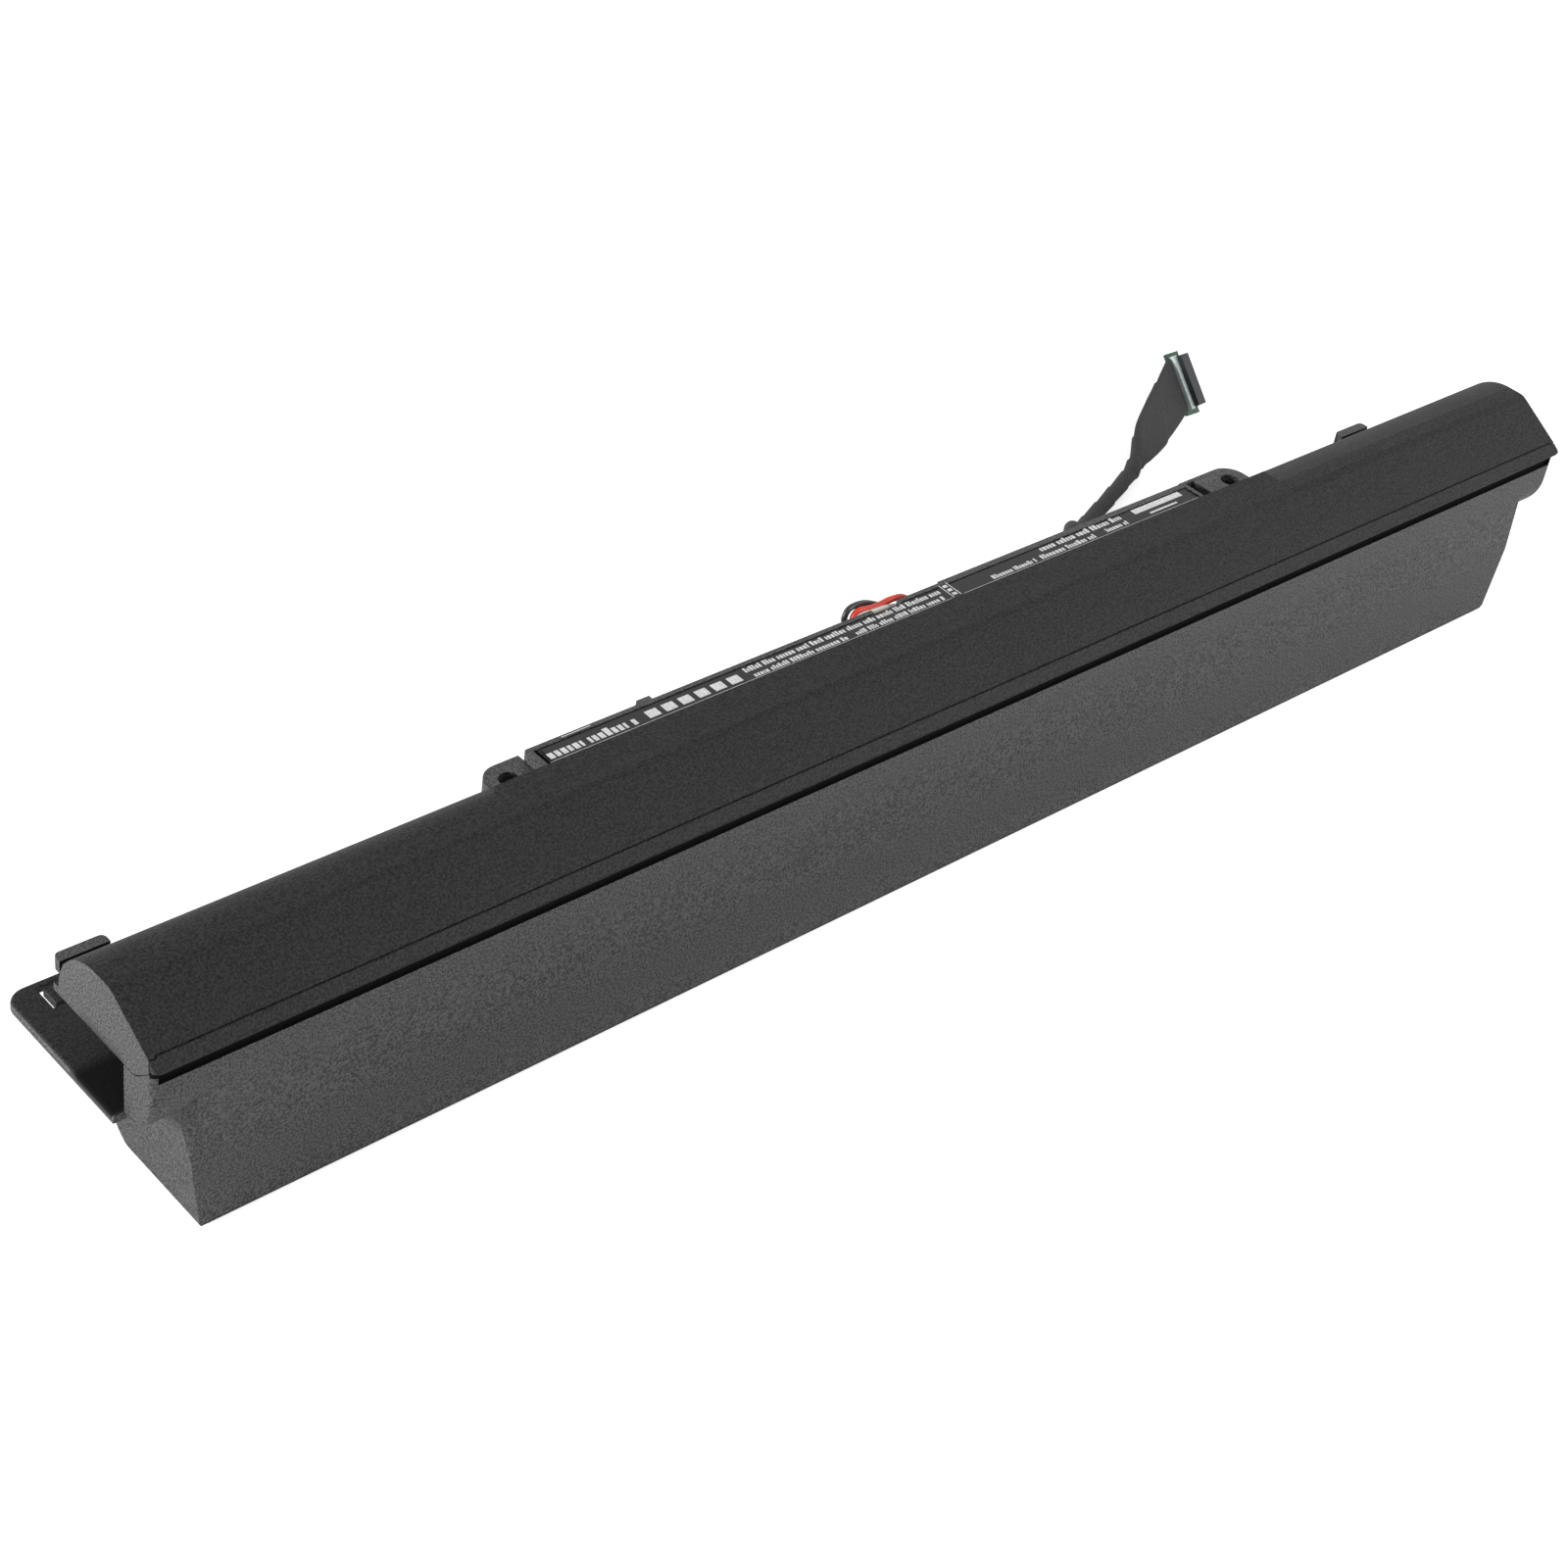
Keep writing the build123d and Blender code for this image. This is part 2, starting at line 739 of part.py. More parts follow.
# Insulating rings round the positive nibs of the cells
ring_rows = [
    (lower_starts, foot_cell_y, lower_cell_z, lower_nibs),
    (upper_starts, bay_cell_y, upper_cell_z, upper_nibs),
]
with BuildPart() as insulating_rings:
    for starts, y, z, nib_sides in ring_rows:
        for start_x, nib_side in zip(starts, nib_sides):
            middle_x = start_x + cell_length / 2
            shoulder_x = middle_x + nib_side * (cell_length / 2 - cell_nib_height)
            with BuildSketch(Plane.YZ.offset(shoulder_x)):
                with Locations((y, z)):
                    RegularPolygon(cell_radius - ring_margin, ring_sides)
                    RegularPolygon(cell_nib_radius + ring_margin, ring_sides // 2, mode=Mode.SUBTRACT)
            extrude(amount=nib_side * ring_thickness)

save(insulating_rings, "insulating_rings")


def make_strip(name, start_x, centres, ears):
    """A welded strip: a slotted pad on each cell centre, joined to each other and to its ears."""
    with BuildPart() as strip:
        with BuildSketch(Plane.YZ.offset(start_x)):
            for start, end in list(zip(centres, centres[1:])) + ears:
                run = Vector(end) - Vector(start)
                middle = (Vector(end) + Vector(start)) / 2
                angle = math.degrees(math.atan2(run.Y, run.X))
                with Locations(Location((middle.X, middle.Y), angle)):
                    Rectangle(run.length, strip_ear_width)
            with Locations(*centres):
                Rectangle(strip_pad_length, strip_pad_width)
                Rectangle(strip_slot_length, strip_slot_width, mode=Mode.SUBTRACT)
        extrude(amount=strip_thickness)
    save(strip, name)


# Nickel strips at the cell ends
lower_centre = (foot_cell_y, lower_cell_z)
upper_centre = (bay_cell_y, upper_cell_z)
ear_inset = board_thickness / 2 + strip_ear_width / 4
lower_board_ear = (board_y - ear_inset, board_z + ear_inset)
upper_board_ear = (board_y - ear_inset, board_z + board_height - ear_inset)
left_end_x = -row_end - strip_play - strip_thickness
right_end_x = row_end + strip_play
joint_xs = [start_x - strip_play - strip_thickness for start_x in lower_starts[1:]]
bay_end_x = bay_inner_left + strip_play
upper_plus_1_x = upper_starts[0] + cell_length + strip_play
upper_plus_2_x = upper_starts[1] - strip_play - strip_thickness

make_strip("nickel_strip_left_end", left_end_x, [lower_centre], [(lower_centre, low_lane)])
make_strip("nickel_strip_right_end", right_end_x, [lower_centre], [(lower_centre, low_lane)])
make_strip("nickel_strip_minus", joint_xs[0], [lower_centre], [(lower_centre, lower_board_ear)])
make_strip(
    "nickel_strip_middle",
    joint_xs[1],
    [lower_centre],
    [(lower_centre, lower_board_ear), (lower_centre, low_lane)],
)
make_strip(
    "nickel_strip_link",
    joint_xs[2],
    [lower_centre, upper_centre],
    [(upper_centre, high_lane)],
)
make_strip("nickel_strip_bay_end", bay_end_x, [upper_centre], [(upper_centre, high_lane)])
make_strip("nickel_strip_plus_1", upper_plus_1_x, [upper_centre], [(upper_centre, upper_board_ear)])
make_strip("nickel_strip_plus_2", upper_plus_2_x, [upper_centre], [(upper_centre, upper_board_ear)])


def make_lead(name, lane, start_x, end_x):
    """A straight insulated lead along one lane beside the cells."""
    with BuildPart() as lead:
        with BuildSketch(Plane.YZ.offset(start_x)):
            with Locations(lane):
                RegularPolygon(lead_diameter / 2, wire_sides)
        extrude(amount=end_x - start_x)
    save(lead, name)


# Leads from strip to strip in the front valley between the rows
make_lead("link_lead_left", low_lane, left_end_x + strip_thickness, joint_xs[1])
make_lead("link_lead_right", low_lane, joint_xs[1] + strip_thickness, right_end_x)
make_lead("link_lead_bay", high_lane, bay_end_x + strip_thickness, joint_xs[2])


# Foam pads that hold the lower row between the end walls
with BuildPart() as foam_pads:
    pad_start = right_end_x + strip_thickness + strip_play
    pad_width = cell_diameter - 2 * ring_margin
    pad_length = foot_half_length - end_wall - pad_start
    for side in (-1, 1):
        with BuildSketch(Plane.YZ.offset(side * pad_start)):
            with Locations(lower_centre):
                RectangleRounded(pad_width, pad_width, foot_back_radius - case_wall)
        extrude(amount=side * pad_length)

save(foam_pads, "foam_pads")


# Circuit board standing in the rear valley between the rows, and what it carries
with BuildPart() as protection_board:
    board_length = board_right - board_left
    with BuildSketch(Plane.XZ.offset(-board_y)):
        with Locations(((board_left + board_right) / 2, board_z + board_height / 2)):
            Rectangle(board_length, board_height)
            with GridLocations(board_length - 2 * board_hole_inset, 0, 2, 1):
                Circle(board_hole_diameter / 2, mode=Mode.SUBTRACT)
    extrude(amount=-board_thickness)

save(protection_board, "protection_board")


def make_chips(name, places, size):
    """Flat packages on the board's inner face, centred on the valley."""
    length, height, thickness, bevel = size
    with BuildPart() as chips:
        with BuildSketch(Plane.XZ.offset(-board_y)):
            with Locations(*[(place, chip_z) for place in places]):
                Rectangle(length, height)
        extrude(amount=thickness)
        chamfer(chips.faces().sort_by(Axis.Y)[: len(places)].edges(), bevel)
    save(chips, name)


make_chips("switch_transistors", transistor_xs, transistor_size)
make_chips("gauge_chip", gauge_xs, gauge_size)
make_chips("thermal_fuse", fuse_xs, fuse_size)
make_chips("sense_resistor", resistor_xs, resistor_size)
make_chips("capacitors", capacitor_xs, capacitor_size)


# Thermistor bead on two legs that stand on the board
with BuildPart() as thermistor:
    with BuildSketch(Plane.YZ.offset(bead_x - bead_length / 2)):
        with Locations((board_y - bead_stand, chip_z)):
            RegularPolygon(bead_radius, 2 * wire_sides)
    extrude(amount=bead_length)
    with BuildSketch(Plane.XZ.offset(-board_y)):
        with Locations((bead_x, chip_z)):
            with GridLocations(bead_leg_pitch, 0, 2, 1):
                RegularPolygon(bead_leg_radius, wire_sides)
    extrude(amount=bead_stand)

save(thermistor, "thermistor")


def corner_radii(points):
    """An arc for each corner, as large as its two runs allow."""
    radii = []
    for before, corner, after in zip(points, points[1:], points[2:]):
        run_in = Vector(corner) - Vector(before)
        run_out = Vector(after) - Vector(corner)
        half_turn = math.radians(run_in.get_angle(run_out)) / 2
        radii.append(0.45 * min(run_in.length, run_out.length) / math.tan(half_turn))
    return radii


# Route of the cable: along the plate, over its rear edge, and down to the floor
cable_route = [
    (9.0, front + 25.2, 31.0),
    (19.5, front + 25.6, 27.0),
    (31.0, front + 26.4, 24.0),
    (42.5, front + 28.2, 23.6),
    (52.5, front + 31.2, 25.2),
    (60.5, front + 35.6, 25.6),
    (67.5, front + 41.6, 21.2),
    (74.0, front + 47.8, 13.2),
    (81.5, front + 54.0, 5.4),
    (91.5, front + 59.4, 1.8),
    (102.5, front + 63.6, 1.6),
    (113.5, front + 68.0, 1.75),
]
cable_radii = corner_radii(cable_route)
with BuildPart() as output_cable:
    with BuildLine() as cable_path:
        FilletPolyline(*cable_route, radius=cable_radii)
    with BuildSketch(Plane(origin=cable_path.line @ 0, z_dir=cable_path.line % 0)):
        RegularPolygon(cable_diameter / 2, cable_sides)
    sweep()

save(output_cable, "output_cable")
cable_length = sum(edge.length for edge in cable_path.line.edges())
print("cable length", round(cable_length, 1), "radii", [round(radius, 1) for radius in cable_radii])


# Wires from the board, out through the notch, into the start of the taped cable
tape_start = Vector(*cable_route[0])
tape_heading = (Vector(*cable_route[1]) - tape_start).normalized()
tape_plane = Plane(origin=tape_start, x_dir=(0, 1, 0), z_dir=tape_heading)
wire_offset = lead_diameter / 2 + wire_clearance
wire_tuck = 2 * lead_diameter
rear_face = front + bay_depth


def make_wire(name, wire_x, rise, outside, across, along):
    """A thin wire up from the board, through the notch and along its points into the tape."""
    tape_point = tape_plane.from_local_coords((across * wire_offset, along * wire_offset, 0))
    wire_y = board_y + board_thickness / 2
    points = [(wire_x, wire_y, board_z + board_height), (wire_x, wire_y, rise)]
    points += [(x, rear_face + clear, z) for x, clear, z in outside]
    points += [tuple(tape_point - tape_heading * wire_tuck), tuple(tape_point)]
    with BuildPart() as wire:
        with BuildLine() as path:
            FilletPolyline(*points, radius=corner_radii(points))
        with BuildSketch(Plane(origin=path.line @ 0, z_dir=path.line % 0)):
            RegularPolygon(lead_diameter / 2, wire_sides)
        sweep()
    save(wire, name)


make_wire(
    "exit_wire_black",
    -4.5,
    35.9,
    [(-4.7, 1.5, 36.3), (-8.2, 1.9, 36.0), (-6.8, 1.7, 32.2), (-1.0, 1.5, 30.6)],
    -1,
    -1,
)
make_wire("exit_wire_white", -3.2, 36.2, [(-3.4, 1.9, 36.6), (0.2, 1.7, 33.0)], -1, 1)
make_wire("exit_wire_red_1", -1.9, 36.4, [(-1.9, 2.6, 38.2), (3.4, 3.6, 36.8)], 1, 1)
make_wire("exit_wire_red_2", -0.65, 35.9, [(-0.4, 2.9, 36.4), (3.4, 3.4, 34.0)], 1, -1)


# Flat end of the cable, from the round part to the plug, standing on its lower edge
flare_edges = [
    ((124.0, front + 70.7, 0.4), (120.5, front + 74.7, 7.0)),
    ((134.7, front + 75.5, 0.4), (133.0, front + 81.8, 8.0)),
    ((141.5, front + 78.7, 1.0), (141.9, front + 86.9, 9.2)),
]


def edge_plane(low, high):
    """Plane across the flat cable, with its local x along the cable's width."""
    across = Vector(*high) - Vector(*low)
    heading = Vector(across.Y, -across.X, 0).normalized()
    return Plane(origin=(Vector(*low) + Vector(*high)) / 2, x_dir=across, z_dir=heading)


with BuildPart() as cable_flare:
    cable_end = Vector(*cable_route[-1])
    cable_heading = (cable_end - Vector(*cable_route[-2])).normalized()
    with BuildSketch(Plane(origin=cable_end, x_dir=(0, 0, 1), z_dir=cable_heading)):
        Rectangle(flare_start_size, flare_start_size)
    for low, high in flare_edges:
        with BuildSketch(edge_plane(low, high)):
            Rectangle((Vector(*high) - Vector(*low)).length, flare_thickness)
    loft(ruled=True)

save(cable_flare, "cable_flare")


# Plug: a small board across the flat end, with a pale strip and a dark body on it
plug_plane = edge_plane(*flare_edges[-1])
plug_body_start = plug_board_reach - plug_body_reach
plug_pieces = {
    "connector_board": (plug_board_length, -plug_board_thickness, 0, 0, plug_board_reach),
    "connector_strip": (
        plug_strip_length,
        0,
        plug_strip_thickness,
        plug_body_start - plug_strip_reach,
        plug_body_start,
    ),
    "connector_body": (plug_body_length, 0, plug_body_thickness, plug_body_start, plug_board_reach),
}
for piece_name, (length, bottom, top, start, end) in plug_pieces.items():
    with BuildPart() as plug_piece:
        with BuildSketch(plug_plane.offset(start)):
            with Locations((0, (bottom + top) / 2)):
                Rectangle(length, top - bottom)
        extrude(amount=end - start)
    save(plug_piece, piece_name)
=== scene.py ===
"""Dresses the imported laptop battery: materials, print, taped cable, plug, light and camera."""

import json
import math
import random

import bmesh
import bpy
from mathutils import Matrix, Vector


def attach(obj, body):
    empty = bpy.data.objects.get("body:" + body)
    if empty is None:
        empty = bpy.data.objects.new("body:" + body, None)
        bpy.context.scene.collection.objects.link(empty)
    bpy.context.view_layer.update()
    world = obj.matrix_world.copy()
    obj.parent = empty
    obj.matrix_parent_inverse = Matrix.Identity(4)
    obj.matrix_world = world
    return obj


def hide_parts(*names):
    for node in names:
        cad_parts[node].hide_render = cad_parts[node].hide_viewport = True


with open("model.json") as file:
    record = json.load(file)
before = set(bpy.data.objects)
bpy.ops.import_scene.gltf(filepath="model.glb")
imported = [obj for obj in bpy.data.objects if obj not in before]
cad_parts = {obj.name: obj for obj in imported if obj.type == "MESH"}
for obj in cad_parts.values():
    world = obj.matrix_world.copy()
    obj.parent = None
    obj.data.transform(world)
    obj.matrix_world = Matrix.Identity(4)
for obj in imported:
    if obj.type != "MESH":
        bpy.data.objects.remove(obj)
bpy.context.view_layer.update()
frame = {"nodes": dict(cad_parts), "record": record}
nodes = frame["nodes"]

MM = 0.001
FRONT = -18.5 * MM  # Y of the lip's front edge
random.seed(7)


def at(x, depth, z):
    """A point in metres from millimetres along the pack, behind the lip, and above the floor."""
    return Vector((x * MM, FRONT + depth * MM, z * MM))


def show(thing):
    """Puts an object into the scene."""
    bpy.context.scene.collection.objects.link(thing)
    return thing


# Camera

camera_data = bpy.data.cameras.new("camera")
camera_data.sensor_fit = "HORIZONTAL"
camera_data.sensor_width = 36.0
camera_data.lens = 67.30
camera_data.clip_start = 0.01
camera_data.clip_end = 20.0
camera = show(bpy.data.objects.new("camera", camera_data))
camera_place = Vector((-285.0, -243.8, 284.2)) * MM
right = Vector((0.74201778, -0.65832864, 0.1265425))
down = Vector((-0.32705569, -0.5202715, -0.78889298))
ahead = Vector((0.58518731, 0.54398618, -0.60136084))
turn = Matrix((right, -down, -ahead)).transposed()
camera.matrix_world = Matrix.Translation(camera_place) @ turn.to_4x4()
bpy.context.scene.camera = camera
bpy.context.scene.view_settings.view_transform = "Standard"


# Shader nodes. An owner is a material or the world.


def add_node(owner, kind, **inputs):
    node = owner.node_tree.nodes.new(kind)
    for name, value in inputs.items():
        node.inputs[name.replace("_", " ")].default_value = value
    return node


def link(owner, source, target):
    owner.node_tree.links.new(source, target)


def calculate(owner, operation, first, second=0.0):
    """The result of a sum on a socket and a second socket or number."""
    node = add_node(owner, "ShaderNodeMath")
    node.operation = operation
    link(owner, first, node.inputs[0])
    if isinstance(second, bpy.types.NodeSocket):
        link(owner, second, node.inputs[1])
    else:
        node.inputs[1].default_value = second
    return node.outputs["Value"]


def span(owner, source, to_low, to_high, from_low=0.0, from_high=1.0):
    """Maps a value from one range to another."""
    node = add_node(
        owner,
        "ShaderNodeMapRange",
        From_Min=from_low,
        From_Max=from_high,
        To_Min=to_low,
        To_Max=to_high,
    )
    link(owner, source, node.inputs["Value"])
    return node.outputs["Result"]


def shader_of(material):
    return material.node_tree.nodes["Principled BSDF"]


def coordinates(material):
    """Object coordinates, from one node for the whole material."""
    place = material.node_tree.nodes.get("Texture Coordinate")
    return (place or add_node(material, "ShaderNodeTexCoord")).outputs["Object"]


def noise(material, scale, detail, roughness=0.6):
    node = add_node(material, "ShaderNodeTexNoise", Scale=scale, Detail=detail, Roughness=roughness)
    link(material, coordinates(material), node.inputs["Vector"])
    return node.outputs["Fac"]


def grain(material, scale, distance, strength, detail=2.0):
    """Fine uneven bump all over, and the noise that it comes from."""
    height = noise(material, scale, detail)
    bump = add_node(material, "ShaderNodeBump", Strength=strength, Distance=distance)
    link(material, height, bump.inputs["Height"])
    link(material, bump.outputs["Normal"], shader_of(material).inputs["Normal"])
    return height


def paint(material, source, low, dark, high, light):
    """Colours the material from dark to light, as the source goes from low to high."""
    ramp = add_node(material, "ShaderNodeValToRGB")
    for element, position, colour in zip(ramp.color_ramp.elements, (low, high), (dark, light)):
        element.position = position
        element.color = (*colour, 1.0)
    link(material, source, ramp.inputs["Fac"])
    link(material, ramp.outputs["Color"], shader_of(material).inputs["Base Color"])


# Materials


def new_material(name, colour, roughness, metallic=0.0, specular=0.5):
    material = bpy.data.materials.new(name)
    material.use_nodes = True
    inputs = shader_of(material).inputs
    inputs["Base Color"].default_value = (*colour, 1.0)
    inputs["Roughness"].default_value = roughness
    inputs["Metallic"].default_value = metallic
    inputs["Specular IOR Level"].default_value = specular
    return material


def moulded(name, dark, light, roughness, specular):
    """Moulded plastic: spark-eroded grain, faint colour speckle, faint handling marks."""
    grain_scale = 3000.0
    wear_spread = 0.07
    material = new_material(name, dark, roughness, specular=specular)
    paint(material, noise(material, grain_scale, 1.0), 0.36, dark, 0.64, light)
    wear = noise(material, 45.0, 5.0, 0.65)
    uneven = span(material, wear, roughness - wear_spread, roughness + wear_spread)
    link(material, uneven, shader_of(material).inputs["Roughness"])
    grain(material, grain_scale, 0.00012, 0.8, detail=1.0)
    return material


def cloth_tape(name, dark, light, roughness):
    """Wound cloth tape: a fine weave under a dull coating."""
    material = new_material(name, dark, roughness)
    paint(material, noise(material, 1800.0, 4.0, 0.75), 0.3, dark, 0.7, light)
    grain(material, 1500.0, 0.0001, 0.7, detail=4.0)
    return material


def plain(name, colour, roughness, scale, distance, metallic=0.0):
    """A small part's material: its colour varies a little and its surface is slightly uneven."""
    spread = 0.12
    material = new_material(name, colour, roughness, metallic)
    height = grain(material, scale, distance, 0.5)
    dark = tuple(value * (1 - spread) for value in colour)
    light = tuple(min(1.0, value * (1 + spread)) for value in colour)
    paint(material, height, 0.3, dark, 0.7, light)
    return material


# Painted light: the case's colours are made lighter than the cover's, brightening its front wall
# and ends as lamplight would.
lit_case_plastic = moulded("lit_case_plastic", (0.004, 0.004, 0.0042), (0.074, 0.074, 0.075), 0.5, 0.5)
cover_plastic = moulded("cover_plastic", (0.0, 0.0, 0.0), (0.022, 0.022, 0.023), 0.55, 0.22)
# Painted shade: near-black, dull plastic for the inside of the drip groove, where the lip's shadow
# falls
groove_shade_plastic = moulded(
    "groove_shade_plastic", (0.0005, 0.0005, 0.0005), (0.003, 0.003, 0.003), 0.9, 0.1
)

label_film = new_material("label_film", (0.012, 0.012, 0.013), 0.5, specular=0.35)
grain(label_film, 700.0, 0.00002, 0.3)

print_and_highlight_white = new_material("print_and_highlight_white", (0.62, 0.62, 0.62), 0.5)
print_noise = grain(print_and_highlight_white, 3000.0, 0.00002, 0.3)
paint(print_and_highlight_white, print_noise, 0.3, (0.5, 0.5, 0.51), 0.6, (0.72, 0.72, 0.71))

tape = cloth_tape("tape", (0.008, 0.008, 0.009), (0.03, 0.03, 0.032), 0.75)

finishes = {
    "case": lit_case_plastic,
    "cover": cover_plastic,
    "label": label_film,
    "tape": tape,
    "cell_wrap": plain("cell_wrap", (0.02, 0.28, 0.42), 0.28, 300.0, 0.00004),
    "card": plain("card", (0.85, 0.84, 0.8), 0.8, 1500.0, 0.00004),
    "nickel": plain("nickel", (0.62, 0.6, 0.56), 0.3, 2500.0, 0.00001, metallic=1.0),
    "board": plain("board", (0.006, 0.05, 0.024), 0.4, 900.0, 0.00001),
    "chip": plain("chip", (0.03, 0.03, 0.03), 0.55, 3000.0, 0.00002),
    "capacitor": plain("capacitor", (0.42, 0.32, 0.22), 0.5, 3000.0, 0.00001),
    "fuse": plain("fuse", (0.6, 0.6, 0.58), 0.35, 2000.0, 0.00001, metallic=1.0),
    "bead": plain("bead", (0.5, 0.28, 0.08), 0.25, 900.0, 0.00002),
    "foam": plain("foam", (0.06, 0.06, 0.06), 0.95, 1600.0, 0.0003),
    "wire_black": plain("wire_black", (0.016, 0.016, 0.017), 0.4, 900.0, 0.00001),
    "wire_white": plain("wire_white", (0.72, 0.71, 0.64), 0.42, 900.0, 0.00001),
    "wire_red": plain("wire_red", (0.62, 0.035, 0.012), 0.4, 900.0, 0.00001),
    "connector_strip": plain("connector_strip", (0.58, 0.66, 0.64), 0.4, 1500.0, 0.00001),
    "connector_body": plain("connector_body", (0.004, 0.006, 0.009), 0.5, 1800.0, 0.00002),
}

slot_of = {part["node"]: part["material_slot"] for part in frame["record"]["subparts"]}
for name, piece in nodes.items():
    piece.data.materials.clear()
    piece.data.materials.append(finishes[slot_of[name]])


# Where the painted shade in the hinge recesses lies: the axis, the limit's start and end, and the
# share inside at each
RECESS_SHADE_LIMITS = (
    ("X", 84.0 * MM, 85.5 * MM, 0.0, 1.0),
    ("Y", FRONT + 7.4 * MM, FRONT + 7.8 * MM, 0.0, 1.0),
    ("Y", FRONT + 16.0 * MM, FRONT + 18.0 * MM, 1.0, 0.0),
    ("Z", 28.0 * MM, 31.0 * MM, 1.0, 0.0),
    ("Z", 19.6 * MM, 20.4 * MM, 0.0, 1.0),
)
RECESS_SHADE_COLOUR = (0.0005, 0.0005, 0.0005, 1.0)
RECESS_ROUGHNESS = (1.0, 1.0, 1.0, 1.0)


def paint_recess_shade(material):
    """Painted shade: near-black colour inside the hinge recesses, where the cover's shadow falls,
    and rougher plastic there.
    """
    split = add_node(material, "ShaderNodeSeparateXYZ")
    link(material, coordinates(material), split.inputs["Vector"])
    axes = {axis: split.outputs[axis] for axis in "YZ"}
    axes["X"] = calculate(material, "ABSOLUTE", split.outputs["X"])
    inside = None
    for axis, start, end, at_start, at_end in RECESS_SHADE_LIMITS:
        share = span(material, axes[axis], at_start, at_end, start, end)
        inside = share if inside is None else calculate(material, "MULTIPLY", inside, share)
    for socket, deep in (("Base Color", RECESS_SHADE_COLOUR), ("Roughness", RECESS_ROUGHNESS)):
        target = shader_of(material).inputs[socket]
        mix = add_node(material, "ShaderNodeMixRGB", Color2=deep)
        link(material, target.links[0].from_socket, mix.inputs["Color1"])
        link(material, inside, mix.inputs["Fac"])
        link(material, mix.outputs["Color"], target)


paint_recess_shade(lit_case_plastic)
paint_recess_shade(cover_plastic)


# Shared mesh helpers


def place(piece, slot_name, material, *replaced):
    """Gives a piece its material and rides it on the body; its slot name is not used."""
    piece.data.materials.append(material)
    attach(piece, "root")
    if replaced:
        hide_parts(*replaced)


def mesh_object(name, vertices, faces):
    mesh = bpy.data.meshes.new(name)
    mesh.from_pydata(vertices, [], faces)
    mesh.update()
    return show(bpy.data.objects.new(name, mesh))


def box_skin(low, high):
    """Corners and faces of a closed box."""
    corners = [
        (x, y, z) for x in (low.x, high.x) for y in (low.y, high.y) for z in (low.z, high.z)
    ]
    faces = [(0, 1, 3, 2), (4, 6, 7, 5), (0, 4, 5, 1), (2, 3, 7, 6), (0, 2, 6, 4), (1, 5, 7, 3)]
    return corners, faces


def loft(name, rings):
    """A closed skin over rings of points, each ring with the same count."""
    count = len(rings[0])
    faces = []
    for start in range(0, (len(rings) - 1) * count, count):
        for column in range(count):
            after = (column + 1) % count
            faces.append(
                (start + column, start + after, start + count + after, start + count + column)
            )
    last = (len(rings) - 1) * count
    faces.append(tuple(reversed(range(count))))
    faces.append(tuple(range(last, last + count)))
    piece = mesh_object(name, [tuple(point) for ring in rings for point in ring], faces)
    work = bmesh.new()
    work.from_mesh(piece.data)
    bmesh.ops.recalc_face_normals(work, faces=work.faces)
    work.to_mesh(piece.data)
    work.free()
    return piece


def spline_object(name, points, radius):
    """A NURBS curve through its control points, with a round section."""
    curve = bpy.data.curves.new(name, "CURVE")
    curve.dimensions = "3D"
    curve.resolution_u = 10
    curve.bevel_depth = radius
    curve.bevel_resolution = 5
    curve.use_fill_caps = True
    spline = curve.splines.new("NURBS")
    spline.points.add(len(points) - 1)
    for point, target in zip(spline.points, points):
        point.co = (*target, 1.0)
    spline.order_u = 3
    spline.use_endpoint_u = True
    return show(bpy.data.objects.new(name, curve))


def smooth(piece, angle):
    """Smooth shading that keeps edges sharper than the angle."""
    piece.data.shade_smooth()
    bpy.context.view_layer.objects.active = piece
    for other in bpy.context.selected_objects:
        other.select_set(False)
    piece.select_set(True)
    bpy.ops.object.shade_smooth_by_angle(angle=math.radians(angle))
    piece.select_set(False)


def soften(piece, width):
    """Rounds a piece's hard edges a little, as moulding and handling leave them."""
    bevel = piece.modifiers.new("soft_edges", "BEVEL")
    bevel.width = width * MM
    bevel.segments = 2
    bevel.limit_method = "ANGLE"
    bevel.angle_limit = math.radians(35.0)
    bevel.use_clamp_overlap = True
    bevel.harden_normals = False


# Housing and cover, each one moulding

WELD_DISTANCE = 0.0005 * MM
FLAT_ANGLE = math.radians(0.3)
SHELL_SMOOTH_ANGLE = 32.0


def add_boolean(piece, operation, other):
    boolean = piece.modifiers.new(operation.lower(), "BOOLEAN")
    boolean.operation = operation
    boolean.solver = "EXACT"
    boolean.object = other


def carved(name, slot_name, joined, edge_width, cut=None):
    """One mesh from some nodes' solids, less a box if there is one, with soft edges."""
    piece = show(bpy.data.objects.new(name, nodes[joined[0]].data.copy()))
    for other in joined[1:]:
        add_boolean(piece, "UNION", nodes[other])
    if cut:
        cutter = mesh_object(f"{name}_cutter", *box_skin(*cut))
        add_boolean(piece, "DIFFERENCE", cutter)
    evaluated = piece.evaluated_get(bpy.context.evaluated_depsgraph_get())
    mesh = bpy.data.meshes.new_from_object(evaluated)
    piece.modifiers.clear()
    piece.data = mesh
    if cut:
        bpy.data.objects.remove(cutter)
    work = bmesh.new()
    work.from_mesh(mesh)
    bmesh.ops.remove_doubles(work, verts=work.verts, dist=WELD_DISTANCE)
    bmesh.ops.dissolve_limit(
        work, angle_limit=FLAT_ANGLE, verts=work.verts, edges=work.edges, delimit={"NORMAL"}
    )
    work.to_mesh(mesh)
    work.free()
    mesh.materials.clear()
    smooth(piece, SHELL_SMOOTH_ANGLE)
    soften(piece, edge_width)
    place(piece, slot_name, finishes[slot_name], *joined)
    return piece
